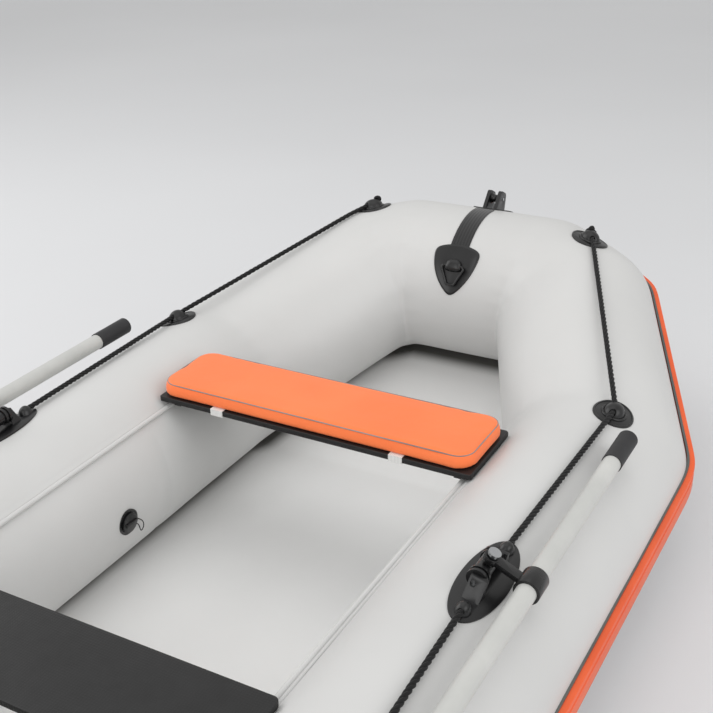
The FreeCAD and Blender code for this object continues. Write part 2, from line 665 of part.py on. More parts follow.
def oar():
    """Tube, grip, blade and the collar that joins the oar to its pin."""
    tip = oar_axis + X_AXIS * size("oar_inboard")
    grip_length = size("grip_length")
    blade_start = size("oar_outboard") - size("blade_length")
    tube_end = tip - X_AXIS * 4
    length = size("oar_inboard") + blade_start + 40 - 4
    outer = cylinder("oar_outer", "dim.oar_radius", str(length), tube_end, X_AXIS * -1)
    inner = cylinder("oar_inner", "dim.oar_radius - dim.oar_wall", str(length + 20), tube_end + X_AXIS * 10,
                     X_AXIS * -1)
    shaft = cut("oar_shaft_tube", outer, inner)
    node(shaft, "oar_shaft_port")
    mirrored(shaft, "oar_shaft_starboard")

    sleeve = cylinder("grip_sleeve", "dim.grip_radius", "dim.grip_length", tip, X_AXIS * -1)
    room = cylinder("grip_room", "dim.oar_radius", "dim.grip_length", tube_end, X_AXIS * -1)
    grip = cut("oar_grip_sleeve", sleeve, room)
    node(grip, "oar_grip_port")
    mirrored(grip, "oar_grip_starboard")

    # The ring sits on the pin and the clamp on the tube.
    ring = cylinder("collar_ring", "dim.pin_radius + 8", "11", oar_axis - reach_out * size("arm_reach") - pin_up * 6,
                    pin_up)
    clamp = cylinder("collar_clamp", "dim.oar_radius + 5", "44", oar_axis - X_AXIS * 22, X_AXIS)
    arm = make("Part::Box", "collar_arm", Length="dim.arm_reach", Width="20", Height="9")
    arm.Placement = axes(oar_axis - reach_out * size("arm_reach") - pin_up * 5 + X_AXIS * 10, reach_out, pin_up)
    solid = fuse("collar_solid", ring, clamp, arm)
    tube_bore = cylinder("collar_tube_bore", "dim.oar_radius", "200", oar_axis - X_AXIS * 100, X_AXIS)
    pin_bore = cylinder("collar_pin_bore", "dim.pin_radius + 0.05", "200",
                        oar_axis - reach_out * size("arm_reach") - pin_up * 100, pin_up)
    collar = cut("oar_collar_bored", cut("collar_clamped", solid, tube_bore), pin_bore)
    node(collar, "oar_collar_port")
    mirrored(collar, "oar_collar_starboard")

    # Blade: a flat plate with a socket. Local X runs towards the tip.
    half, long = size("blade_width") / 2, size("blade_length")
    outline = [Vector(0, -20, 0), Vector(0, 20, 0), Vector(long * 0.28, half, 0), Vector(long, half * 0.92, 0),
               Vector(long, -half * 0.92, 0), Vector(long * 0.28, -half, 0)]
    plate = padded_outline("blade_plate", rounded_wire(outline, 18), "dim.blade_thickness")
    rib = make("Part::Cone", "blade_rib", Radius1="dim.oar_radius + 2.5", Radius2="4", Height="dim.blade_length * 0.8")
    rib.Placement = Placement(Vector(-30, 0, 0), Rotation(Z_AXIS, X_AXIS))
    socket = cylinder("blade_socket", "dim.oar_radius", "70", Vector(-30, 0, 0), X_AXIS)
    blade = cut("oar_blade_solid", fuse("blade_body_solid", plate, rib), socket)
    lean = size("blade_tilt") / ROUND
    flat_normal = Vector(0, math.sin(lean), math.cos(lean))
    blade.Placement = axes(oar_axis - X_AXIS * blade_start, X_AXIS * -1, flat_normal)
    node(blade, "oar_blade_port")
    mirrored(blade, "oar_blade_starboard")


oar()


# ---- bow fittings ----------------------------------------------------------------------------------------------
# Local X runs along the bow tube, local Y away from the crest, local Z out of the skin.

bow_axis = Vector(size("corner_x"), 0, axis_z + size("bow_rise"))
cross = Vector(0, -1, 0)
tow_place = on_tube(bow_axis, Vector(cross), -size("tow_angle"))
roller_place = on_tube(bow_axis, Vector(cross), size("roller_tilt"))


def tow_patch():
    """A rounded triangle, point down, with a raised loop for the ring."""
    half = size("tow_patch_width") / 2 + 14
    triangle = [Vector(-half, 58, 0), Vector(half, 58, 0), Vector(0, -82, 0)]
    block = padded_outline("tow_block", rounded_wire(triangle, 16), "160")
    plate = common("tow_plate", skin, block)
    pocket = make("Part::Ellipsoid", "tow_pocket", Radius1="16", Radius2="19", Radius3="15")
    pocket.Placement.Base = Vector(0, 8, 0)
    bore = cylinder("tow_bore", "dim.ring_wire + 0.4", "200", Vector(-100, 8, 10), X_AXIS)
    patch = cut("tow_patch_solid", fuse("tow_solid", plate, cut("tow_pocket_cut", pocket, inner_skin)), bore)
    patch.Placement = tow_place
    node(patch, "tow_patch")


tow_patch()


def tow_ring():
    """A triangle of round wire that hangs from the loop of the patch."""
    wire = size("ring_wire")
    top = tow_place.multVec(Vector(0, 8, 10))
    hang = 48
    down = Vector(-0.37, 0, -0.929).normalize()
    across = Vector(0, 1, 0)
    corners = [top + across * 33, top - across * 33, top - across * 10 + down * hang, top + across * 10 + down * hang]
    path = rounded_wire(corners, 7)
    start = path.Edges[1]
    point, tangent = start.valueAt(start.FirstParameter), start.tangentAt(start.FirstParameter)
    section = Part.Wire(Part.makeCircle(wire, point, tangent))
    ordered = Part.Wire(path.Edges[1:] + path.Edges[:1])
    ring = doc.addObject("Part::Feature", "tow_ring_wire")
    ring.Shape = ordered.makePipeShell([section], True, False)
    node(ring, "tow_ring")
    return top


ring_pivot = tow_ring()


def bow_strap():
    """Webbing over the crest, from the tow patch to the roller."""
    start, end = size("tow_angle") - 18.5, size("roller_tilt") - 17.5
    outer = cylinder("bow_strap_outer", "dim.tube_radius + 2.5", "dim.bow_strap_width",
                     bow_axis + Vector(0, size("bow_strap_width") / 2, 0), cross)
    inner = cylinder("bow_strap_inner", "dim.tube_radius", "dim.bow_strap_width",
                     bow_axis + Vector(0, size("bow_strap_width") / 2, 0), cross)
    far = 3 * radius
    spread = [bow_axis]
    for angle in (start, start / 2, -end):
        spread.append(bow_axis + Vector(-far * math.sin(angle / ROUND), 0, far * math.cos(angle / ROUND)))
    wedge = prism("bow_strap_wedge", spread, Y_AXIS, "dim.side_y")
    node(common("bow_strap_band", cut("bow_strap_skin", outer, inner), wedge), "bow_strap")


bow_strap()


def bow_roller():
    """A roller on an axle between two rounded cheeks."""
    plate = common("roller_plate", skin, oval_block("roller_block", "110", "94"))
    pivot = size("cheek_height") - 19
    outline = [Vector(-36, -12, 0), Vector(36, -12, 0), Vector(19, size("cheek_height"), 0),
               Vector(-19, size("cheek_height"), 0)]
    cheeks = []
    for side in (-1, 1):
        plate_shape = padded_outline(f"roller_cheek_{side + 1}", rounded_wire(outline, 11), "dim.cheek_thickness")
        cheek = doc.addObject("Part::Compound", f"roller_cheek_{side + 1}_turned")
        cheek.Links = [plate_shape]
        offset = side * (size("cheek_gap") + size("cheek_thickness")) / 2
        cheek.Placement = Placement(Vector(offset, 0, 0), Rotation(Y_AXIS, Z_AXIS, X_AXIS, "ZXY"))
        cheeks.append(cut(f"roller_cheek_{side + 1}_foot", cheek, inner_skin))
    bore = cylinder("roller_bracket_bore", "dim.roller_axle", "200", Vector(-100, 0, pivot), X_AXIS)
    bracket = cut("bow_roller_bracket_solid", fuse("roller_frame", plate, *cheeks), bore)
    bracket.Placement = roller_place
    node(bracket, "bow_roller_bracket")

    outer_face = size("cheek_gap") / 2 + size("cheek_thickness")
    axle = make("Part::Cylinder", "bow_roller_axle_rod", Radius="dim.roller_axle",
                Height="dim.cheek_gap + 2 * dim.cheek_thickness + 4")
    across = roller_place.Rotation.multVec(X_AXIS)
    axle.Placement = Placement(roller_place.multVec(Vector(-outer_face - 2, 0, pivot)), Rotation(Z_AXIS, across))
    node(axle, "bow_roller_axle")

    width = size("cheek_gap") - 1
    waist, rim = size("roller_radius") - 5, size("roller_radius")
    half = width / 2
    bore_radius = size("roller_axle") + 0.05
    edges = [Part.LineSegment(Vector(bore_radius, 0, -half), Vector(rim, 0, -half)).toShape(),
             Part.Arc(Vector(rim, 0, -half), Vector(waist, 0, 0), Vector(rim, 0, half)).toShape(),
             Part.LineSegment(Vector(rim, 0, half), Vector(bore_radius, 0, half)).toShape(),
             Part.LineSegment(Vector(bore_radius, 0, half), Vector(bore_radius, 0, -half)).toShape()]
    profile = doc.addObject("Part::Feature", "bow_roller_profile")
    profile.Shape = Part.Face(Part.Wire(edges))
    roller = doc.addObject("Part::Revolution", "bow_roller_spool")
    roller.Source = profile
    roller.Axis = Z_AXIS
    roller.Angle = 360
    roller.Solid = True
    roller.Placement = Placement(roller_place.multVec(Vector(0, 0, pivot)), Rotation(Z_AXIS, across))
    node(roller, "bow_roller")


bow_roller()


# ---- stern handle ----------------------------------------------------------------------------------------------

def stern_handle():
    """A carry handle of webbing over two pads on the stern tube."""
    stern_axis = Vector(-size("corner_x"), 0, axis_z + size("stern_rise"))
    place = on_tube(stern_axis, Vector(0, 1, 0), 30)
    half = size("handle_length") / 2
    pads = common("handle_pads", skin, box("handle_pad_block", "dim.handle_length + 50", "60", "60",
                                           ("-dim.handle_length / 2 - 25", "-30", "-20")))
    gap = box("handle_gap", "dim.handle_length - 70", "120", "80", ("-dim.handle_length / 2 + 35", "-60", "-40"))
    feet = cut("handle_feet", pads, gap)
    feet.Placement = place
    node(feet, "stern_handle_patches")
    route = [Vector(-half + 5, 0, 4), Vector(-half + 28, 0, 22), Vector(-30, 0, 31), Vector(30, 0, 31),
             Vector(half - 28, 0, 22), Vector(half - 5, 0, 4)]
    rise = [place.multVec(p) for p in route]
    handle = cord_tube("stern_handle_bow", rise, 14)
    tool = make("Part::Cylinder", "handle_skin", Radius="dim.tube_radius + dim.patch_thickness", Height="600")
    tool.Placement = Placement(stern_axis - Vector(0, 300, 0), Rotation(Z_AXIS, Y_AXIS))
    node(cut("stern_handle_loop", handle, tool), "stern_handle")


stern_handle()


# ---- valves ----------------------------------------------------------------------------------------------------
# Local Z points out of the tube, into the cockpit. The body stands in a round pocket of its chamber.

def valve_place(x, side):
    """A place on the inner side of a side tube. side is 1 for port, -1 for starboard."""
    return on_tube(Vector(x, side * side_y, axis_z), Vector(side, 0, 0), -size("valve_angle"))


def valve(name, place, body_names):
    """Body with flange, spring-loaded plunger and a ribbed cap."""
    flange = cylinder(name + "_flange", "dim.valve_radius", "5", Vector(0, 0, -2))
    well = cylinder(name + "_well", "dim.valve_bore + 5", "dim.valve_depth", Vector(0, 0, -size("valve_depth")))
    body = fuse(name + "_cup", flange, well)
    passage = cylinder(name + "_passage", "dim.valve_bore", "dim.valve_depth + 10", Vector(0, 0, -size("valve_depth") + 4))
    guide = cylinder(name + "_guide", "4.05", "20", Vector(0, 0, -size("valve_depth") - 5))
    shell = cut(name + "_shell", cut(name + "_bored", body, passage), guide)
    shell.Placement = place
    node(shell, body_names["body"])

    stem = cylinder(name + "_stem", "4", "dim.valve_depth - 8", Vector(0, 0, -size("valve_depth") - 1))
    disc = cylinder(name + "_disc", "dim.valve_bore - 1", "2.5", Vector(0, 0, -11))
    plunger = fuse(name + "_plunger_solid", stem, disc)
    plunger.Placement = place
    node(plunger, body_names["plunger"])

    coil = cylinder(name + "_coil_outer", "9", "8", Vector(0, 0, -size("valve_depth") + 4.2))
    core = cylinder(name + "_coil_core", "7", "20", Vector(0, 0, -size("valve_depth") + 2))
    spring = cut(name + "_spring_coil", coil, core)
    spring.Placement = place
    node(spring, body_names["spring"])

    lid = cylinder(name + "_lid", "dim.valve_radius - 6", "5", Vector(0, 0, 3.3))
    plug = cylinder(name + "_plug", "dim.valve_bore - 0.5", "6", Vector(0, 0, -2.5))
    grip = box(name + "_grip", "34", "7", "9", ("-17", "-3.5", "3.3"))
    cap = fuse(name + "_cap_solid", lid, plug, grip)
    cap.Placement = place
    node(cap, body_names["cap"])


def pocket_tool(name, place):
    """The room that a valve's body takes out of its chamber."""
    seat_room = cylinder(name + "_seat_room", "dim.valve_radius + 0.5", "20", Vector(0, 0, -2))
    room = cylinder(name + "_room", "dim.valve_bore + 5", "dim.valve_depth + 10", Vector(0, 0, -size("valve_depth") - 10))
    tool = fuse(name + "_pocket", seat_room, room)
    tool.Placement = place
    return tool


VALVES = [("stern_valve", size("valve_x"), 1, stern_tube, "stern_air_chamber"),
          ("bow_valve", size("fore_valve_x"), -1, bow_tube, "bow_air_chamber")]
for name, x, side, tube, chamber_name in VALVES:
    place = valve_place(x, side)
    valve(name, place, {key: f"{name}_{key}" for key in ("body", "plunger", "spring", "cap")})
    node(cut(chamber_name + "_solid", tube, pocket_tool(name, place)), chamber_name)


# ---- keeper cord of the stern valve: a small loop from the flange and back --------------------------------------

KEEPER_ROUTE = [(28, -7.5, 0.8), (33, -10, 4), (40, -18, 7), (43, -28, 8), (41, -38, 7), (35, -42, 6.5),
                (31, -35, 7), (29, -26, 6.5), (28, -20, 4), (23, -17.5, 0.8)]
keeper_place = valve_place(size("valve_x"), 1)
keeper_points = [keeper_place.multVec(Vector(*p)) for p in KEEPER_ROUTE]
keeper = cord_tube("keeper_cord_tube", keeper_points, size("cord_diameter"))
print("keeper route", [tuple(round(c, 1) for c in p) for p in keeper_points])
node(keeper, "keeper_cord")


# ---- check and write -------------------------------------------------------------------------------------------

doc.recompute()
for thing in doc.Objects:
    if "Invalid" in thing.State or "Error" in thing.State:
        raise RuntimeError(f"{thing.Label} failed: {thing.State}")

os.makedirs("parts", exist_ok=True)
for thing in subparts:
    shape = thing.Shape
    if shape.isNull() or not shape.isValid() or not shape.Solids:
        raise RuntimeError(f"{thing.Label} has no valid solid")
    shape.exportStep(f"parts/{thing.Label}.step")
    extent = shape.optimalBoundingBox(False)
    print(f"{thing.Label:28s} solids {len(shape.Solids)} volume {shape.Volume / 1000:10.1f} cm3  "
          f"x {extent.XMin:.1f}..{extent.XMax:.1f} y {extent.YMin:.1f}..{extent.YMax:.1f} "
          f"z {extent.ZMin:.1f}..{extent.ZMax:.1f}")
print("sub-parts", len(subparts))
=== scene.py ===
import json
import math

import bmesh
import bpy
import numpy as np
from mathutils import Matrix, Vector, noise
from mathutils.bvhtree import BVHTree


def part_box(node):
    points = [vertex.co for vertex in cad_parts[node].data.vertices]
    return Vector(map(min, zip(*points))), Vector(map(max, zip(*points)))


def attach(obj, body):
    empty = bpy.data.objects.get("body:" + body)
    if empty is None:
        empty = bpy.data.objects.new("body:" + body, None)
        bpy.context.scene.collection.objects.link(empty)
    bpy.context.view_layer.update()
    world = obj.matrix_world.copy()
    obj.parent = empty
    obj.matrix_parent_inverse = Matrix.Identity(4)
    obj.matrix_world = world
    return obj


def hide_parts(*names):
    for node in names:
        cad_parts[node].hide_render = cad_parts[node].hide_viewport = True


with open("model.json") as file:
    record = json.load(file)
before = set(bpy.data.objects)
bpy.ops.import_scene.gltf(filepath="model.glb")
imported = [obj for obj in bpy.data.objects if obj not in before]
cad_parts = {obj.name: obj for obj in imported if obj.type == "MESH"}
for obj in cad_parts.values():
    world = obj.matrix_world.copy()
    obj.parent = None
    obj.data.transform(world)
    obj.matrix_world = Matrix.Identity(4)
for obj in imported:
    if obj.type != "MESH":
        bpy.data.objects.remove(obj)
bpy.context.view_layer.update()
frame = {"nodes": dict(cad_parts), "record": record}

NODES = frame["nodes"]
SLOT = {part["node"]: part["material_slot"] for part in frame["record"]["subparts"]}
scene = bpy.context.scene


# ---- camera ----------------------------------------------------------------------------------------------

SENSOR, LENS = 36, 58.3473  # mm
SHIFT = (0.069986, 0.023843)  # shares of the image's width
CAMERA_PLACE = Vector((-1.4892, -1.0992, 1.5351))
AZIMUTH, DOWN, ROLL = 0.5445, 0.4573, -0.0359  # radians


def add_camera():
    level = math.cos(DOWN)
    ahead = Vector((level * math.cos(AZIMUTH), level * math.sin(AZIMUTH), -math.sin(DOWN)))
    right = ahead.cross(Vector((0, 0, 1))).normalized()
    up = right.cross(ahead)
    right, up = (right * math.cos(ROLL) + up * math.sin(ROLL),
                 up * math.cos(ROLL) - right * math.sin(ROLL))
    data = bpy.data.cameras.new("camera")
    data.sensor_width, data.lens = SENSOR, LENS
    data.shift_x, data.shift_y = SHIFT
    camera = bpy.data.objects.new("camera", data)
    turn = Matrix((right, up, -ahead)).transposed().to_4x4()
    camera.matrix_world = Matrix.Translation(CAMERA_PLACE) @ turn
    scene.collection.objects.link(camera)
    scene.camera = camera


add_camera()


# ---- materials -------------------------------------------------------------------------------------------

def srgb(r, g, b):
    def linear(c):
        c /= 255
        return c / 12.92 if c <= 0.04045 else ((c + 0.055) / 1.055) ** 2.4
    return (linear(r), linear(g), linear(b), 1)


class Nodes:
    """A material's node tree, with short names for what the finishes below use."""

    def __init__(self, name):
        self.material = bpy.data.materials.new(name)
        self.material.use_nodes = True
        self.tree = self.material.node_tree
        self.shader = self.tree.nodes["Principled BSDF"]
        self.place = self.tree.nodes.new("ShaderNodeTexCoord").outputs["Object"]
        self.bump = None

    def add(self, kind, inputs=None, **settings):
        node = self.tree.nodes.new(kind)
        for key, value in settings.items():
            setattr(node, key, value)
        for key, value in (inputs or {}).items():
            if isinstance(value, bpy.types.NodeSocket):
                self.tree.links.new(value, node.inputs[key])
            else:
                node.inputs[key].default_value = value
        return node

    def noise(self, scale, detail=3.0, rough=0.5, stretch=None):
        place = self.place
        if stretch:
            place = self.add("ShaderNodeMapping", {"Vector": place, "Scale": stretch}).outputs[0]
        return self.add("ShaderNodeTexNoise", {"Vector": place, "Scale": scale, "Detail": detail,
                                               "Roughness": rough}).outputs["Fac"]

    def wave(self, scale, axis, distortion=0.0):
        inputs = {"Vector": self.place, "Scale": scale, "Distortion": distortion}
        return self.add("ShaderNodeTexWave", inputs, bands_direction=axis).outputs["Fac"]

    def math(self, operation, a, b):
        return self.add("ShaderNodeMath", {0: a, 1: b}, operation=operation).outputs[0]

    def ramp(self, fac, low, high, start=0.3, end=0.7):
        node = self.add("ShaderNodeValToRGB", {"Fac": fac})
        node.color_ramp.elements[0].position, node.color_ramp.elements[0].color = start, low
        node.color_ramp.elements[1].position, node.color_ramp.elements[1].color = end, high
        return node.outputs["Color"]

    def colour(self, fac, low, high, start=0.3, end=0.7):
        tone = self.ramp(fac, srgb(*low), srgb(*high), start, end)
        self.tree.links.new(tone, self.shader.inputs["Base Color"])

    def roughness(self, fac, low, high):
        out = self.add("ShaderNodeMapRange", {"Value": fac, "To Min": low, "To Max": high}).outputs[0]
        self.tree.links.new(out, self.shader.inputs["Roughness"])

    def relief(self, height, depth, strength=1.0):
        """Adds a layer of bump; depth is in metres."""
        inputs = {"Height": height, "Distance": depth, "Strength": strength}
        if self.bump:
            inputs["Normal"] = self.bump
        self.bump = self.add("ShaderNodeBump", inputs).outputs[0]
        self.tree.links.new(self.bump, self.shader.inputs["Normal"])

    def set(self, **values):
        for key, value in values.items():
            self.shader.inputs[key.replace("_", " ")].default_value = value


def coated_fabric(name, low, high, wrinkle, roughness, crease=None):
    """Reinforced PVC: satin, with the weave under it just showing, and soft folds.

    crease is its colour in the painted shade along the tubes, which stands in for their shadow on the sheet."""
    m = Nodes(name)
    tone = m.ramp(m.noise(2.2, 5), srgb(*low), srgb(*high))
    if crease:
        # painted shade: the sheet's crease attribute blends its tone towards the crease colour next to the
        # tubes
        crease_shade = m.add("ShaderNodeAttribute", attribute_name="crease").outputs["Fac"]
        tone = m.add("ShaderNodeMixRGB", {"Fac": crease_shade, "Color1": tone, "Color2": srgb(*crease)}).outputs[0]
    m.tree.links.new(tone, m.shader.inputs["Base Color"])
    m.roughness(m.noise(14, 4), *roughness)
    m.relief(m.noise(5.5, 2), wrinkle)
    m.relief(m.noise(38, 3), wrinkle * 0.06)
    weave = m.math("ADD", m.wave(330, "X"), m.math("ADD", m.wave(330, "Y"), m.wave(330, "Z")))
    m.relief(weave, 0.00004, 0.5)
    m.set(Specular_IOR_Level=0.45, Coat_Weight=0.12, Coat_Roughness=0.35)
    return m.material


def moulded(name, low, high, roughness, grain=0.00006, scale=420, metallic=0.0):
    """Moulded or painted: a fine grain and slight wear."""
    m = Nodes(name)
    m.colour(m.noise(9, 5), low, high)
    m.roughness(m.noise(30, 4), *roughness)
    m.relief(m.noise(scale, 2), grain)
    m.set(Metallic=metallic)
    return m.material


def webbing(name, low, high, axis, pitch=0.0016):
    """Woven tape: cross ribs, with finer threads along it."""
    m = Nodes(name)
    ribs = m.wave(1 / (pitch * 20 / math.pi), axis, 0.4)
    threads = m.noise(900, 2, stretch=(1, 1, 0.3))
    fac = m.math("ADD", m.math("MULTIPLY", ribs, 0.7), m.math("MULTIPLY", threads, 0.3))
    m.colour(fac, low, high, 0.1, 0.9)
    m.roughness(threads, 0.6, 0.85)
    m.relief(fac, 0.0005)
    m.set(Sheen_Weight=0.25, Sheen_Roughness=0.5)
    return m.material


def pad_cover(name):
    m = Nodes(name)
    weave = m.math("ADD", m.wave(240, "X"), m.wave(240, "Y"))
    m.colour(m.noise(6, 5), (252, 122, 64), (255, 130, 72))
    m.roughness(m.noise(24, 4), 0.5, 0.64)
    m.relief(m.noise(13, 3), 0.0022)
    m.relief(weave, 0.00008, 0.6)
    m.set(Sheen_Weight=0.12, Sheen_Roughness=0.5, Specular_IOR_Level=0.35)
    return m.material


def rope_fibre(name):
    m = Nodes(name)
    fibre = m.noise(1500, 3)
    m.colour(fibre, (3, 3, 4), (20, 20, 21), 0.25, 0.75)
    m.roughness(fibre, 0.5, 0.75)
    m.relief(fibre, 0.0003)
    m.set(Sheen_Weight=0.06, Sheen_Roughness=0.45, Specular_IOR_Level=0.3)
    return m.material


def board_finish(name):
    """Dark film-faced board with a fine cross-hatched tread."""
    m = Nodes(name)
    tread = m.math("MULTIPLY", m.wave(60, "X"), m.wave(60, "Y"))
    m.colour(m.noise(12, 5), (11, 11, 12), (19, 19, 20))
    m.roughness(m.noise(40, 4), 0.42, 0.6)
    m.relief(tread, 0.0002)
    m.relief(m.noise(500, 2), 0.00005)
    return m.material


MATERIALS = {
    "hull_fabric": coated_fabric("hull_fabric", (199, 199, 198), (206, 206, 205), 0.0016, (0.4, 0.5)),
    "bulkhead_fabric": coated_fabric("bulkhead_fabric", (196, 198, 197), (206, 207, 206), 0.004,
                                     (0.4, 0.5)),
    # the bottom fabric's last colour is painted shade, laid on the sheet along the tubes where they would
    # shade it
    "bottom_fabric": coated_fabric("bottom_fabric", (244, 244, 243), (249, 249, 248), 0.003, (0.42, 0.54),
                                   (96, 95, 92)),
    "strake_orange": moulded("strake_orange", (226, 88, 38), (238, 98, 46), (0.38, 0.52)),
    "strake_grey": moulded("strake_grey", (78, 82, 80), (92, 95, 92), (0.4, 0.55)),
    "black_rubber": moulded("black_rubber", (12, 12, 13), (22, 22, 23), (0.26, 0.4), 0.00008, 300),
    "rope": rope_fibre("rope"),
    "black_plastic": moulded("black_plastic", (12, 12, 13), (24, 24, 25), (0.2, 0.36), 0.00004, 500),
    "blade_plastic": moulded("blade_plastic", (34, 34, 36), (48, 48, 50), (0.34, 0.5), 0.00008, 350),
    "steel": moulded("steel", (168, 170, 172), (196, 198, 200), (0.16, 0.32), 0.00002, 900, 1.0),
    "oar_tube": moulded("oar_tube", (186, 187, 184), (200, 200, 197), (0.26, 0.4), 0.00002, 700),
    "grip_rubber": moulded("grip_rubber", (30, 30, 32), (42, 42, 44), (0.5, 0.66), 0.00015, 450),
    "seat_board": board_finish("seat_board"),
    "seat_pad": pad_cover("seat_pad"),
    "white_webbing": webbing("white_webbing", (206, 206, 204), (240, 240, 238), "Y"),
    "black_webbing": webbing("black_webbing", (6, 6, 7), (30, 30, 31), "Y", 0.004),
    "grey_piping": moulded("grey_piping", (128, 122, 118), (156, 150, 146), (0.4, 0.55)),
}


def finish_of(piece, slot, finish=None):
    """Gives a piece its slot, and the slot's material or another."""
    piece.data.materials.clear()
    piece.data.materials.append(MATERIALS[finish or slot])


def new_piece(name, verts, faces, body, slot, finish=None, replaces=(), crease=None):
    """A smooth piece from points and faces, with sharp edges where they turn by more than crease degrees."""
    mesh = bpy.data.meshes.new(name)
    mesh.from_pydata([tuple(v) for v in verts], [], faces)
    mesh.validate()
    work = bmesh.new()
    work.from_mesh(mesh)
    bmesh.ops.recalc_face_normals(work, faces=work.faces)
    work.to_mesh(mesh)
    work.free()
    mesh.shade_smooth()
    if crease:
        mesh.set_sharp_from_angle(angle=math.radians(crease))
    piece = bpy.data.objects.new(name, mesh)
    scene.collection.objects.link(piece)
    finish_of(piece, slot, finish)
    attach(piece, body)
    if replaces:
        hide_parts(*replaces)
    return piece


def shaped_mesh(piece):
    """What a piece's modifiers make of it, as a mesh of its own."""
    return bpy.data.meshes.new_from_object(piece.evaluated_get(bpy.context.evaluated_depsgraph_get()))


def apply_modifiers(piece):
    bpy.context.view_layer.update()
    shaped = shaped_mesh(piece)
    piece.modifiers.clear()
    piece.data = shaped


for name, node in NODES.items():
    finish_of(node, SLOT[name])


SAME_PLACE = 2e-6
FLAT, EDGE, SHARP = (math.radians(degrees) for degrees in (0.5, 35, 40))


def refined(name, body, bevel):
    """A copy of a CAD node with its edges eased, shown in its place."""
    work = bmesh.new()
    work.from_mesh(NODES[name].data)
    bmesh.ops.remove_doubles(work, verts=work.verts, dist=SAME_PLACE)
    bmesh.ops.dissolve_limit(work, angle_limit=FLAT, verts=work.verts, edges=work.edges)
    mesh = bpy.data.meshes.new(name + "_eased")
    work.to_mesh(mesh)
    work.free()
    piece = bpy.data.objects.new(name + "_eased", mesh)
    scene.collection.objects.link(piece)
    ease = piece.modifiers.new("ease", "BEVEL")
    ease.width, ease.segments, ease.limit_method = bevel, 2, "ANGLE"
    ease.angle_limit = EDGE
    ease.use_clamp_overlap = True
    apply_modifiers(piece)
    piece.data.shade_smooth()
    piece.data.set_sharp_from_angle(angle=SHARP)
    finish_of(piece, SLOT[name])
    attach(piece, body)
    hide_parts(name)


# ---- hull ------------------------------------------------------------------------------------------------

# The part's own dimensions, as in CAD.
TUBE, SIDE_Y, AXIS_Z, BEND_X = 0.196, 0.498, 0.199, 0.720
CORNER_X, CORNER_Y, CORNER_CUT = 1.238, 0.258, 0.075
BOW_RISE, STERN_RISE, BULKHEAD_X = 0.165, 0.064, 0.229


def ring_end(end, rise):
    bend = Vector((end * BEND_X, SIDE_Y, AXIS_Z))
    corner = Vector((end * CORNER_X, CORNER_Y, AXIS_Z + rise))
    port = [bend, corner + (bend - corner).normalized() * CORNER_CUT, corner - Vector((0, CORNER_CUT, 0))]
    return port + [Vector((p.x, -p.y, p.z)) for p in reversed(port)]


BOW_LINE, STERN_LINE = ring_end(1, BOW_RISE), ring_end(-1, STERN_RISE)
RING = ([Vector((BULKHEAD_X, SIDE_Y, AXIS_Z))] + BOW_LINE + [Vector((BULKHEAD_X, -SIDE_Y, AXIS_Z))]
        + list(reversed(STERN_LINE)))
BULKHEADS = (0, 7)  # the points of RING where the two chambers meet
STEP = 0.009  # between rows along the ring
MITRE_SOFTNESS = 0.020


def ring_rows():
    """(segment, share of its length) for each row round the ring, and the row where each segment starts."""
    rows, starts = [], []
    for i, here in enumerate(RING):
        length = (RING[(i + 1) % len(RING)] - here).length
        count = max(2, round(length / STEP))
        starts.append(len(rows))
        rows += [(i, k / count) for k in range(count)]
    return rows, starts


ROWS, STARTS = ring_rows()


def softened(grid, sigma):
    """Smooths a closed ring of rows along its length, which rounds its mitres."""
    reach = int(3 * sigma / STEP) + 1
    weights = np.exp(-0.5 * (np.arange(-reach, reach + 1) * STEP / sigma) ** 2)
    weights /= weights.sum()
    return sum(w * np.roll(grid, -shift, axis=0) for w, shift in zip(weights, range(-reach, reach + 1)))


def mitred_tube(count, sigma):
    """Rows of points round the tube, mitred at each bend, then rounded."""
    total = len(RING)
    along = [(RING[(i + 1) % total] - RING[i]).normalized() for i in range(total)]
    joints = []
    up = Vector((0, 0, 1))
    side = Vector((0, 1, 0))
    for i in range(total):
        after = along[i]
        if i:
            mirror = (along[i - 1] + after).normalized()
            up, side = (v - mirror * (2 * v.dot(mirror)) for v in (up, side))
        plane = (along[i - 1] + after).normalized()
        ring = []
        for k in range(count):
            angle = math.tau * k / count
            offset = up * (TUBE * math.cos(angle)) + side * (TUBE * math.sin(angle))
            ring.append(RING[i] + offset - after * (offset.dot(plane) / after.dot(plane)))
        joints.append(np.array(ring))
    joints.append(joints[0])
    grid = np.array([joints[i] * (1 - t) + joints[i + 1] * t for i, t in ROWS])
    return softened(grid, sigma)


def centre_line(sigma):
    points = np.array([RING[i].lerp(RING[(i + 1) % len(RING)], t) for i, t in ROWS])
    return softened(points, sigma)


AROUND = 128
PUCKER_REACH, PUCKER_FOLDS, PUCKER_DEPTH = 0.045, 26, 0.0006
SEAM_DEPTH, SEAM_REACH = 0.0022, 0.011


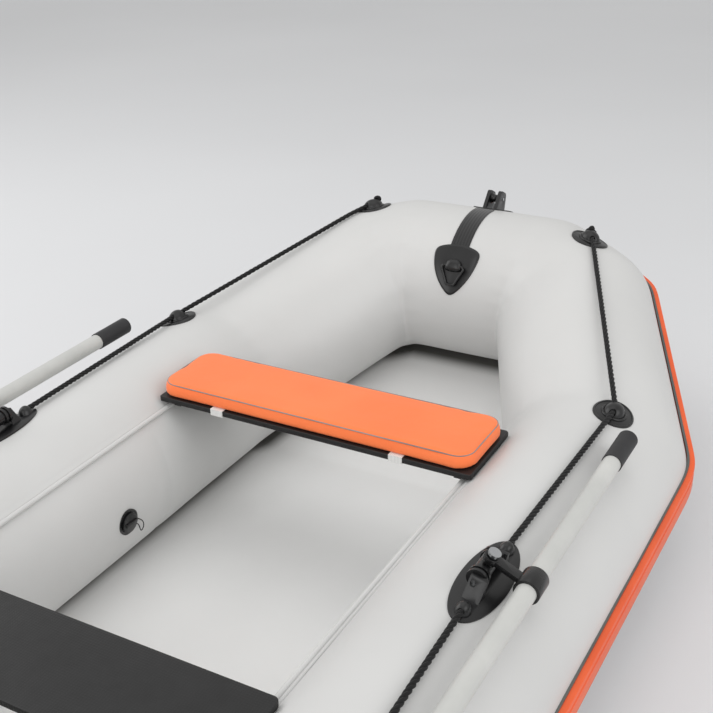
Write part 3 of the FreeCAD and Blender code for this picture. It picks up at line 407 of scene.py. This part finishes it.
def hull_skin():
    """The tubes' skin: soft all over, puckered inside each mitre, drawn in at the seam inside the boat."""
    grid = mitred_tube(AROUND, MITRE_SOFTNESS)
    middle = centre_line(MITRE_SOFTNESS)
    outward = grid - middle[:, None, :]
    outward /= np.linalg.norm(outward, axis=2, keepdims=True)
    mitres = [STARTS[i] for i in range(len(RING)) if i not in BULKHEADS]
    inward = -outward[:, :, 0] * middle[:, None, 0] - outward[:, :, 1] * middle[:, None, 1]
    inside = np.clip(inward, 0, 0.5) * 2
    lift = np.zeros(grid.shape[:2])
    for r in range(grid.shape[0]):
        near = min(min(abs(r - m), len(ROWS) - abs(r - m)) for m in mitres) * STEP
        pucker = math.exp(-(near / PUCKER_REACH) ** 2)
        for c in range(AROUND):
            p = Vector(grid[r, c])
            soft = noise.noise(p * 3.1) * 0.0011 + noise.noise(p * 7.3 + Vector((5, 1, 2))) * 0.0005
            if pucker > 0.02:
                angle = math.tau * c / AROUND
                fold = math.sin(angle * PUCKER_FOLDS + noise.noise(p * 6) * 5)
                soft += pucker * inside[r, c] * PUCKER_DEPTH * fold
            lift[r, c] = soft
    lower_inside = np.clip(inside * 1.4, 0, 1) * np.clip(0.7 - outward[:, :, 2], 0, 1)
    lift -= SEAM_DEPTH * np.exp(-((grid[:, :, 0] - BULKHEAD_X) / SEAM_REACH) ** 2) * lower_inside
    return grid + outward * lift[:, :, None]


def ring_faces(rows, count, start=0):
    """Faces of a closed ring of rows, each a loop of count points."""
    def at(r, c):
        return start + r % rows * count + c % count
    return [(at(r, c), at(r + 1, c), at(r + 1, c + 1), at(r, c + 1))
            for r in range(rows) for c in range(count)]


def tube_faces(rows, count):
    """Faces of a tube of rows by count points, closed by two fans about the two points that follow them."""
    faces = ring_faces(rows, count)[:(rows - 1) * count]
    first, last = rows * count, rows * count + 1
    faces += [(first, c, (c + 1) % count) for c in range(count)]
    faces += [(last, (rows - 1) * count + (c + 1) % count, (rows - 1) * count + c) for c in range(count)]
    return faces


def chamber(name, grid):
    """A closed length of the tube."""
    verts = list(grid.reshape(-1, 3)) + [grid[0].mean(0), grid[-1].mean(0)]
    new_piece(name + "_skin", verts, tube_faces(len(grid), AROUND), "hull", "hull_fabric", crease=60,
              replaces=[name])


SKIN = hull_skin()
HALF = STARTS[BULKHEADS[1]]
chamber("bow_air_chamber", SKIN[: HALF + 1])
chamber("stern_air_chamber", np.concatenate([SKIN[HALF:], SKIN[:1]]))


def ring_outline(outward):
    """The ring's centreline in plan, moved outwards by a distance."""
    plan = [Vector((p.x, p.y, 0)) for p in RING]
    outline = []
    for i, here in enumerate(plan):
        before, after = plan[i - 1], plan[(i + 1) % len(plan)]
        first = (here - before).normalized().cross(Vector((0, 0, -1)))
        second = (after - here).normalized().cross(Vector((0, 0, -1)))
        outline.append(here + (first + second) * (outward / (1 + first.dot(second))))
    return outline


def axis_height(x):
    rise = BOW_RISE if x > 0 else STERN_RISE
    return AXIS_Z + rise * max(0.0, (abs(x) - BEND_X) / (CORNER_X - BEND_X))


def strip(name, profile, slot):
    """A strip round the outside of the tubes. profile is a closed list of (distance out, height)."""
    columns = []
    for out, high in profile:
        outline = ring_outline(out)
        line = []
        for i, t in ROWS:
            p = outline[i].lerp(outline[(i + 1) % len(outline)], t)
            line.append((p.x, p.y, axis_height(p.x) + high))
        columns.append(line)
    grid = softened(np.array(columns).transpose(1, 0, 2), MITRE_SOFTNESS)
    faces = ring_faces(len(ROWS), len(profile))
    new_piece(name + "_strip", grid.reshape(-1, 3), faces, "hull", slot, crease=40, replaces=[name])


SUNK = 0.002  # how far a strip's edges go into the tubes


def on_skin(high):
    return math.sqrt(TUBE ** 2 - high ** 2) - SUNK


def strip_profile(low, high, thick, groove=None):
    """A strip from low to high on the tube, with rounded edges and a groove round its face."""
    face = TUBE + thick
    round_by = 0.003
    groove_half, groove_floor, groove_depth = 0.005, 0.0025, 0.003
    line = [(on_skin(low), low), (face - round_by, low), (face - 0.0008, low + 0.001),
            (face, low + round_by)]
    if groove:
        line += [(face, groove - groove_half), (face - groove_depth, groove - groove_floor),
                 (face - groove_depth, groove + groove_floor), (face, groove + groove_half)]
    return line + [(face, high - round_by), (face - 0.0008, high - 0.001), (face - round_by, high),
                   (on_skin(high), high)]


strip("rubbing_strake", strip_profile(-0.030, 0.0218, 0.013, 0.007), "strake_orange")
strip("strake_stripe", strip_profile(0.0212, 0.0275, 0.0018), "strake_grey")


def floor_panel():
    """The bottom sheet: flat amidships, turned up at both ends, and softly rippled where nothing holds it."""
    overlap, thick, rows, columns = 0.020, 0.003, 250, 72
    held_side, held_end = 0.09, 0.1  # how far in from its edges it can ripple freely
    ripple_height = 0.0035
    half = sorted((p for p in ring_outline(overlap) if p.y > 0), key=lambda p: p.x)
    xs, ys = [p.x for p in half], [p.y for p in half]
    verts = []
    stations = np.linspace(xs[0], xs[-1], rows)

    def height(x):
        rise = BOW_RISE if x > 0 else STERN_RISE
        slope = math.atan(rise / (CORNER_X - BEND_X))
        knee = BEND_X + TUBE * math.tan(slope / 2)
        return thick + max(0.0, abs(x) - knee) * math.tan(slope)

    for x in stations:
        width = float(np.interp(x, xs, ys))
        for k in range(columns + 1):
            y = width * (2 * k / columns - 1)
            free_side = min(1.0, max(0.0, (width - abs(y)) / held_side - 0.5))
            free_end = min(1.0, max(0.0, (xs[-1] - abs(x)) / held_end - 0.5))
            free = free_side * free_end
            p = Vector((x * 2.2, y * 3.4, 0.3))
            finer = noise.noise(p * 2.9 + Vector((3, 7, 1)))
            ripple = (noise.noise(p) + 0.45 * finer) * ripple_height + 0.003
            verts.append((x, y, height(x) + free * max(0.0, ripple)))
    side = columns + 1
    faces = [(r * side + k, (r + 1) * side + k, (r + 1) * side + k + 1, r * side + k + 1)
             for r in range(rows - 1) for k in range(columns)]
    below = len(verts)
    verts += [(x, y, height(x) - thick) for x, y, _ in verts]
    faces += [tuple(below + i for i in reversed(f)) for f in faces]
    edge = (list(range(side)) + [r * side + columns for r in range(1, rows)]
            + [(rows - 1) * side + k for k in range(columns - 1, -1, -1)]
            + [r * side for r in range(rows - 2, 0, -1)])
    faces += [(a, b, b + below, a + below) for a, b in zip(edge, edge[1:] + edge[:1])]
    sheet = new_piece("bottom_panel_sheet", verts, faces, "hull", "bottom_fabric", crease=50,
                      replaces=["bottom_panel"])
    place = np.array(verts)[:, :2]
    near = np.full(len(verts), 9.0)
    for i, here in enumerate(RING):
        a, b = np.array(here[:2]), np.array(RING[(i + 1) % len(RING)][:2])
        share = np.clip(((place - a) @ (b - a)) / ((b - a) @ (b - a)), 0, 1)
        near = np.minimum(near, np.linalg.norm(place - a - share[:, None] * (b - a), axis=1))
    # painted shade: the sheet is darkened within reach of the tubes' line, standing in for the shadow where
    # the tubes meet it
    crease_shade = sheet.data.attributes.new("crease", "FLOAT", "POINT")
    reach = np.interp(place[:, 0], (0.8, 1.0), (0.120, 0.086))  # less of it shows under the bow tube
    fade = 0.04
    crease_shade.data.foreach_set("value", (np.clip((reach - near) / fade, 0, 1) ** 1.5).astype(np.float32))


floor_panel()


# ---- ropes -----------------------------------------------------------------------------------------------

def spline(name, points):
    """A curve object that passes smoothly along a route."""
    data = bpy.data.curves.new(name, "CURVE")
    data.dimensions = "3D"
    data.resolution_u = 24
    line = data.splines.new("NURBS")
    line.points.add(len(points) - 1)
    for point, place in zip(line.points, points):
        point.co = (*place, 1)
    line.order_u = 3
    line.use_endpoint_u = True
    piece = bpy.data.objects.new(name, data)
    scene.collection.objects.link(piece)
    return piece


def read_line(points, step):
    """Even steps along the smooth line through a route."""
    guide = spline("guide", points)
    bpy.context.view_layer.update()
    mesh = shaped_mesh(guide)
    co = np.array([v.co for v in mesh.vertices])
    bpy.data.objects.remove(guide)
    length = np.concatenate([[0], np.cumsum(np.linalg.norm(np.diff(co, axis=0), axis=1))])
    at = np.linspace(0, length[-1], max(2, int(length[-1] / step)) + 1)
    return np.stack([np.interp(at, length, co[:, k]) for k in range(3)], 1), at


def frames_along(line):
    """Two directions across a line at each of its points, without twist."""
    tangents = np.gradient(line, axis=0)
    tangents /= np.linalg.norm(tangents, axis=1, keepdims=True)
    normal = Vector((0, 0, 1))
    result = []
    for t in tangents:
        t = Vector(t)
        normal = (normal - t * normal.dot(t)).normalized()
        result.append((normal.copy(), t.cross(normal)))
    return result


def tube_along(line, radius, sides, start):
    """A closed tube along a line; its vertices are numbered from start."""
    frames = frames_along(line)
    verts = []
    for p, (a, b) in zip(line, frames):
        for k in range(sides):
            angle = math.tau * k / sides
            verts.append(Vector(p) + (a * math.cos(angle) + b * math.sin(angle)) * radius)
    rows = len(line)
    verts += [Vector(line[0]), Vector(line[-1])]
    faces = [tuple(start + i for i in f) for f in tube_faces(rows, sides)]
    return verts, faces


def laid_rope(name, points, radius, strands, pitch, body, slot, replaces, extra=()):
    """A rope of twisted strands that follows a route, and its knots."""
    line, at = read_line(points, pitch / 12)
    frames = frames_along(line)
    lay = radius * 0.46
    verts, faces = [], []
    for s in range(strands):
        coil = []
        for p, (a, b), d in zip(line, frames, at):
            angle = math.tau * (d / pitch + s / strands)
            coil.append(Vector(p) + (a * math.cos(angle) + b * math.sin(angle)) * lay)
        more, more_faces = tube_along(np.array(coil), radius - lay, 8, len(verts))
        verts += more
        faces += more_faces
    for knot in extra:
        more, more_faces = tube_along(knot, radius * 0.82, 8, len(verts))
        verts += more
        faces += more_faces
    new_piece(name, verts, faces, body, slot, replaces=replaces)


def knot_at(place, heading, size):
    """A small stopper knot: a trefoil wound about the rope's line."""
    across = heading.cross(Vector((0, 0, 1))).normalized()
    over = heading.cross(across)
    turn, steps = [], 60
    for k in range(steps + 1):
        u = math.tau * k / steps
        a = math.sin(u) + 2 * math.sin(2 * u)
        b = math.cos(u) - 2 * math.cos(2 * u)
        c = -math.sin(3 * u)
        turn.append(place + across * (a * size) + over * (b * size) + heading * (c * size * 1.1))
    return np.array(turn)


def on_tube(axis_point, along, tilt):
    """A place on the tubes' skin: its point, its direction along the tube, and its outward direction.

    tilt is in degrees from the top, outboard."""
    along = along.normalized()
    up = (Vector((0, 0, 1)) - along * along.z).normalized()
    turn = math.radians(tilt)
    normal = up * math.cos(turn) + up.cross(along) * math.sin(turn)
    return axis_point + normal * TUBE, along, normal


EYE_X, EYE_TILT, EYE_HIGH = 0.628, 16.5, 0.013
GORE_STEP, BOW_TILT, STERN_TILT = 0.040, 12, 11
OARLOCK_X, LUG_REACH, BARREL_Y, LUG_HIGH = -0.030, 0.092, 0.541, 0.010
BOW_GORE = (BOW_LINE[2] - BOW_LINE[1]).normalized()
STERN_GORE = (STERN_LINE[1] - STERN_LINE[2]).normalized()
FORWARD = Vector((1, 0, 0))
HOLDERS = {
    "bow": on_tube(BOW_LINE[1] + BOW_GORE * GORE_STEP, BOW_GORE, BOW_TILT),
    "fore": on_tube(Vector((EYE_X, SIDE_Y, AXIS_Z)), FORWARD, EYE_TILT),
    "aft": on_tube(Vector((-EYE_X, SIDE_Y, AXIS_Z)), FORWARD, EYE_TILT),
    "stern": on_tube(STERN_LINE[1] - STERN_GORE * GORE_STEP, STERN_GORE, STERN_TILT),
}


def line_route(outer, inner, end, rest):
    """The port line from its outer eye to the oarlock's lug; it rests on the tube near the outer eye."""
    eyes = []
    for place in (outer, inner):
        base, _, normal = HOLDERS[place]
        eyes.append(base + normal * EYE_HIGH)
    near = eyes[0].lerp(eyes[1], 0.12) + Vector((0, 0, rest))
    lug_tilt = math.degrees(math.asin((BARREL_Y - SIDE_Y) / TUBE))
    lug, _, normal = on_tube(Vector((OARLOCK_X + end * LUG_REACH, SIDE_Y, AXIS_Z)), FORWARD, lug_tilt)
    return [eyes[0], near, eyes[1], lug + normal * LUG_HIGH]


FORE_ROUTE = line_route("bow", "fore", 1, 0.005)
AFT_ROUTE = line_route("stern", "aft", -1, 0.0015)
ROPE, ROPE_STRANDS, ROPE_PITCH = 0.006, 3, 0.042
KNOT_BEYOND, KNOT_SIZE = 0.019, 0.0034
BEND_REACH = 0.03  # on each side of an eye, where the rope bends


def grab_line(name, route, side):
    """A taut rope from a knot at the first eye, through the others."""
    points = [Vector((x, y * side, z)) for x, y, z in route]
    heading = (points[0] - points[1]).normalized()
    knot = points[0] + heading * KNOT_BEYOND
    run = [knot]
    for i in range(1, len(points) - 1):
        for other in (i - 1, i + 1):
            near = points[i] + (points[other] - points[i]).normalized() * BEND_REACH
            run.append(near) if other < i else run.extend([points[i], near])
    run.append(points[-1])
    laid_rope(name + "_rope", run, ROPE, ROPE_STRANDS, ROPE_PITCH, "hull", "rope", [name],
              [knot_at(knot, heading, KNOT_SIZE)])


for place, route in (("fore", FORE_ROUTE), ("aft", AFT_ROUTE)):
    for side_name, side in (("port", 1), ("starboard", -1)):
        grab_line(f"grab_line_{place}_{side_name}", route, side)


def keeper():
    """The thin cord that keeps the valve's cap."""
    route = [(0.102, 0.3022, 0.1778), (0.107, 0.2992, 0.1751), (0.114, 0.2968, 0.1669),
             (0.117, 0.2965, 0.1568), (0.115, 0.2981, 0.1469), (0.109, 0.2989, 0.1430),
             (0.105, 0.2979, 0.1499), (0.103, 0.2978, 0.1589), (0.102, 0.2999, 0.1651),
             (0.097, 0.3029, 0.1678)]
    piece = spline("valve_keeper", route)
    piece.data.bevel_depth = 0.0011
    piece.data.bevel_resolution = 4
    piece.data.use_fill_caps = True
    finish_of(piece, SLOT["keeper_cord"])
    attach(piece, "hull")
    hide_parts("keeper_cord")


keeper()


# ---- seat pad --------------------------------------------------------------------------------------------

PAD_X, PAD_LENGTH, PAD_WIDTH, PAD_FOOT, PAD_TOP, PAD_CORNER = 0.399, 0.744, 0.188, 0.3668, 0.3985, 0.038
PIPING_HIGH, PIPING = PAD_TOP - 0.0035, 0.0013


def pad_outline(inset, count=14):
    """The pad's rounded oblong in plan, moved inwards by inset."""
    half_x, half_y, corner = PAD_WIDTH / 2 - inset, PAD_LENGTH / 2 - inset, PAD_CORNER - inset
    line = []
    for quarter, (sx, sy) in enumerate(((1, 1), (-1, 1), (-1, -1), (1, -1))):
        for k in range(count + 1):
            angle = math.pi / 2 * (quarter + k / count)
            line.append((PAD_X + sx * (half_x - corner) + corner * math.cos(angle),
                         sy * (half_y - corner) + corner * math.sin(angle)))
    return line


def loft(rings):
    """A closed skin through rings of points, one above another."""
    count = len(rings[0])
    verts = [p for ring in rings for p in ring]
    verts += [tuple(np.mean(rings[0], 0)), tuple(np.mean(rings[-1], 0))]
    return verts, tube_faces(len(rings), count)


def seat_pad():
    """A foam pad in a stretched cover: remeshed, swollen by a cloth simulation, and crowned."""
    start, voxel, pressure, frames, farthest = -0.0012, 0.005, 4, 20, 0.005
    near_top, crown_height, crown_reach = PAD_TOP - 0.012, 0.0018, 0.05
    levels = ((-0.001, PAD_FOOT), (-0.0032, PAD_FOOT + 0.002), (-0.004, PAD_FOOT + 0.006),
              (-0.0036, PAD_FOOT + 0.014), (-0.0015, PAD_FOOT + 0.022), (0.0015, PAD_TOP - 0.0045),
              (0.005, PAD_TOP - 0.0018), (0.012, PAD_TOP - 0.0005))
    rings = [[(x, y, z) for x, y in pad_outline(inset + start)] for inset, z in levels]
    verts, faces = loft(rings)
    piece = new_piece("seat_pad_cushion", verts, faces, "front_seat", "seat_pad", replaces=["seat_pad"])
    remesh = piece.modifiers.new("remesh", "REMESH")
    remesh.mode, remesh.voxel_size = "VOXEL", voxel
    apply_modifiers(piece)
    before = np.array([v.co for v in piece.data.vertices])
    cloth = piece.modifiers.new("cloth", "CLOTH")
    settings = cloth.settings
    settings.use_pressure, settings.uniform_pressure_force = True, pressure
    settings.effector_weights.gravity = 0
    settings.tension_stiffness = settings.compression_stiffness = 12
    settings.mass = 0.3
    cloth.point_cache.frame_start, cloth.point_cache.frame_end = 1, frames
    for step in range(1, frames + 1):
        scene.frame_set(step)
    swollen = shaped_mesh(piece)
    after = np.array([v.co for v in swollen.vertices])
    piece.modifiers.clear()
    scene.frame_set(1)
    move = after - before
    size = np.linalg.norm(move, axis=1, keepdims=True)
    after = before + move * np.minimum(1, farthest / np.maximum(size, 1e-9))
    for vertex, place in zip(piece.data.vertices, after):
        vertex.co = place
    for vertex in piece.data.vertices:
        x, y, z = vertex.co
        edge = min(PAD_LENGTH / 2 - abs(y), PAD_WIDTH / 2 - abs(x - PAD_X))
        crown = crown_height * min(1.0, max(0.0, edge / crown_reach)) if z > near_top else 0
        dimple = noise.noise(Vector((x * 9, y * 6, 0))) * 0.0007 if z > near_top else 0
        vertex.co.z = max(PAD_FOOT - 0.0008, min(z, PAD_TOP) + crown + dimple)
    divide = piece.modifiers.new("divide", "SUBSURF")
    divide.levels = divide.render_levels = 1
    apply_modifiers(piece)
    piece.data.shade_smooth()
    finish_of(piece, "seat_pad")
    return piece


def ring_tube(name, outline, radius, body, slot, finish):
    """A tube round a closed outline."""
    centre, total, sides = np.array(outline), len(outline), 8
    verts = []
    for i in range(total):
        ahead = Vector(centre[(i + 1) % total] - centre[i - 1]).normalized()
        out = ahead.cross(Vector((0, 0, 1))).normalized()
        for k in range(sides):
            angle = math.tau * k / sides
            about = out * math.cos(angle) + Vector((0, 0, 1)) * math.sin(angle)
            verts.append(Vector(centre[i]) + about * radius)
    new_piece(name, verts, ring_faces(total, sides), body, slot, finish)


def seat_board():
    """The bench board, with eased edges. Its port end stands less proud of the pad than the other."""
    half_x, port, starboard, low, high, ease = 0.100, 0.369, -0.377, 0.354, 0.366, 0.0012
    rings, cut = [], 0.004
    for inset, z in ((ease, low), (0, low + ease), (0, high - ease), (ease, high)):
        x, a, b = half_x - inset, port - inset, starboard + inset
        corners = ((x - cut, a), (x, a - cut), (x, b + cut), (x - cut, b),
                   (-x + cut, b), (-x, b + cut), (-x, a - cut), (-x + cut, a))
        rings.append([(PAD_X + cx, cy, z) for cx, cy in reversed(corners)])
    verts, faces = loft(rings)
    new_piece("front_bench_board", verts, faces, "front_seat", "seat_board", crease=25,
              replaces=["front_seat_board"])


def pad_piping(pad):
    """A piping sewn round the pad, half sunk in the pad's skin."""
    skin = BVHTree.FromPolygons([v.co for v in pad.data.vertices],
                                [tuple(f.vertices) for f in pad.data.polygons])
    line = []
    for (x, y), (far_x, far_y) in zip(pad_outline(0.030, 12), pad_outline(-0.010, 12)):
        outside = Vector((far_x, far_y, PIPING_HIGH))
        inward = (Vector((x, y, PIPING_HIGH)) - outside).normalized()
        line.append(tuple(skin.ray_cast(outside, inward)[0] + inward * 0.0002))
    ring_tube("pad_piping", line, PIPING, "front_seat", "seat_pad", "grey_piping")


pad_piping(seat_pad())
seat_board()


# ---- tow patch -------------------------------------------------------------------------------------------

BOW_AXIS = Vector((CORNER_X, 0, AXIS_Z + BOW_RISE))


def on_bow(tilt, along, round_y, above):
    """A point by the bow tube's skin: along its surface from the place at tilt, and to port."""
    angle = math.radians(tilt) + along / TUBE
    outward = Vector((math.sin(angle), 0, math.cos(angle)))
    return BOW_AXIS + outward * (TUBE + above) + Vector((0, round_y, 0))


PATCH_TILT = -61  # degrees from the crest of the bow tube


def tow_patch():
    """A shield of thick rubber with a stepped rim, on the inside of the bow tube, and the ring's keeper."""
    corners = (Vector((-0.062, 0.052)), Vector((0, -0.071)), Vector((0.062, 0.052)))
    outline, bulge, per_side, smoothings = [], 0.064, 40, 18
    for i, here in enumerate(corners):
        there = corners[(i + 1) % 3]
        out = Vector(((there - here).y, -(there - here).x)).normalized()
        if out.dot(here + there) < 0:
            out = -out
        for k in range(per_side):
            t = k / per_side
            outline.append(here.lerp(there, t) + out * (bulge * t * (1 - t)))
    line = np.array(outline)
    for _ in range(smoothings):
        line = (np.roll(line, 1, 0) + 2 * line + np.roll(line, -1, 0)) / 4
    rings = []
    for share, above in ((1, -0.001), (1, 0.0022), (0.985, 0.003), (0.9, 0.0031), (0.88, 0.0026),
                         (0.5, 0.0027), (0.05, 0.0027)):
        rings.append([tuple(on_bow(PATCH_TILT, b * share, a * share, above)) for a, b in line])
    verts, faces = loft(rings)
    rings, turns = [], 48
    for level in (0, 0.3, 0.55, 0.75, 0.88, 0.96, 0.995):
        share = (1 - level ** 3.2) ** (1 / 2.6)
        ring = []
        for k in range(turns):
            angle = math.tau * k / turns
            c, d = math.cos(angle), math.sin(angle)
            size = (abs(c) ** 3 + abs(d) ** 3) ** (-1 / 3) * share
            taper = 1 - 0.18 * d * size
            ring.append(tuple(on_bow(PATCH_TILT, 0.010 + 0.016 * d * size, 0.022 * c * size * taper,
                                     0.001 + 0.0155 * level)))
        rings.append(ring)
    more, more_faces = loft(rings)
    faces += [tuple(len(verts) + i for i in f) for f in more_faces]
    new_piece("tow_shield", verts + more, faces, "hull", "black_rubber", crease=50, replaces=["tow_patch"])


tow_patch()
for name, body, ease in (
        [(f"rope_holder_{at}_{side}", "hull", 0.0012) for at in ("bow", "fore", "aft", "stern")
         for side in ("port", "starboard")]
        + [(f"oarlock_base_{side}", "hull", 0.0012) for side in ("port", "starboard")]
        + [(f"oar_collar_{side}", f"oar_{side}", 0.0008) for side in ("port", "starboard")]
        + [(f"oar_blade_{side}", f"oar_{side}", 0.0015) for side in ("port", "starboard")]
        + [("bow_roller_bracket", "hull", 0.001), ("rear_seat_board", "rear_seat", 0.0012),
           ("stern_valve_cap", "stern_valve_cap", 0.0008), ("bow_valve_cap", "bow_valve_cap", 0.0008)]):
    refined(name, body, ease)


def holder_rims():
    """A moulded ring round each rope holder's eye, and a thin raised rim on its patch."""
    for place, (base, along, up) in HOLDERS.items():
        for side_name, side in (("port", 1), ("starboard", -1)):
            mirror = Vector((1, side, 1))
            x_axis, z_axis, origin = (v * mirror for v in (along, up, base))
            y_axis = z_axis.cross(x_axis)
            verts, faces, turns, sides = [], [], 56, 8
            for half_long, half_wide, thick, lift in ((0.027, 0.024, 0.0034, 0.0036),
                                                      (0.0455, 0.0395, 0.0012, 0.0028)):
                start = len(verts)
                for i in range(turns):
                    angle = math.tau * i / turns
                    for k in range(sides):
                        roll = math.tau * k / sides
                        grow = thick * math.cos(roll)
                        x, y = (half_long + grow) * math.cos(angle), (half_wide + grow) * math.sin(angle)
                        z = math.sqrt(TUBE ** 2 - y * y) - TUBE + lift + thick * math.sin(roll)
                        verts.append(origin + x_axis * x + y_axis * y + z_axis * z)
                faces += ring_faces(turns, sides, start)
            new_piece(f"holder_rim_{place}_{side_name}", verts, faces, "hull", "black_rubber",
                      "black_plastic")


holder_rims()


def bulkhead_disc(side_name, side):
    """The fabric disc between the chambers, just clear of their skin."""
    low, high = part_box(f"bulkhead_{side_name}")
    rings, turns, shares = [], 64, (0.02, 0.3, 0.6, 0.85, 0.97)
    for x, order in ((low.x, shares), (high.x, shares[::-1])):
        for share in order:
            rings.append([(x, side * SIDE_Y + TUBE * share * math.cos(math.tau * k / turns),
                           AXIS_Z + TUBE * share * math.sin(math.tau * k / turns)) for k in range(turns)])
    verts, faces = loft(rings)
    new_piece(f"bulkhead_{side_name}_disc", verts, faces, "hull", "bulkhead_fabric", crease=40,
              replaces=[f"bulkhead_{side_name}"])


bulkhead_disc("port", 1)
bulkhead_disc("starboard", -1)


# ---- floor and light -------------------------------------------------------------------------------------

def studio():
    """A plain pale floor, an even sky and four soft lamps."""
    mesh = bpy.data.meshes.new("ground")
    far, low = 60, -0.001
    corners = [(-far, -far, low), (far, -far, low), (far, far, low), (-far, far, low)]
    mesh.from_pydata(corners, [], [(0, 1, 2, 3)])
    ground = bpy.data.objects.new("ground", mesh)
    scene.collection.objects.link(ground)
    paint = Nodes("ground")
    paint.colour(paint.noise(0.4), (214, 215, 217), (218, 219, 221))
    paint.set(Roughness=0.85)
    mesh.materials.append(paint.material)
    world = bpy.data.worlds.new("studio")
    world.use_nodes = True
    world.node_tree.nodes["Background"].inputs["Color"].default_value = (1, 0.995, 0.985, 1)
    world.node_tree.nodes["Background"].inputs["Strength"].default_value = 0.72
    scene.world = world
    for name, place, aim, size, power in (
            ("top", (0.6, 0.2, 3.6), (0.5, 0, 0.0), 3.4, 16),
            ("port", (0.2, 4.6, 2.9), (0.3, -0.3, 0.2), 4.2, 72),
            ("starboard", (-0.4, -4.6, 2.8), (0.5, 0.4, 0.2), 4.2, 72),
            ("aft", (-4.6, -0.3, 3.0), (1.0, 0, 0.3), 4.4, 80)):
        light = bpy.data.lights.new(name, "AREA")
        light.shape, light.size, light.energy = "DISK", size, power
        lamp = bpy.data.objects.new(name, light)
        lamp.location = place
        lamp.rotation_euler = (Vector(aim) - Vector(place)).to_track_quat("-Z", "Y").to_euler()
        scene.collection.objects.link(lamp)
    scene.view_settings.view_transform = "Standard"


studio()

bpy.context.view_layer.update()
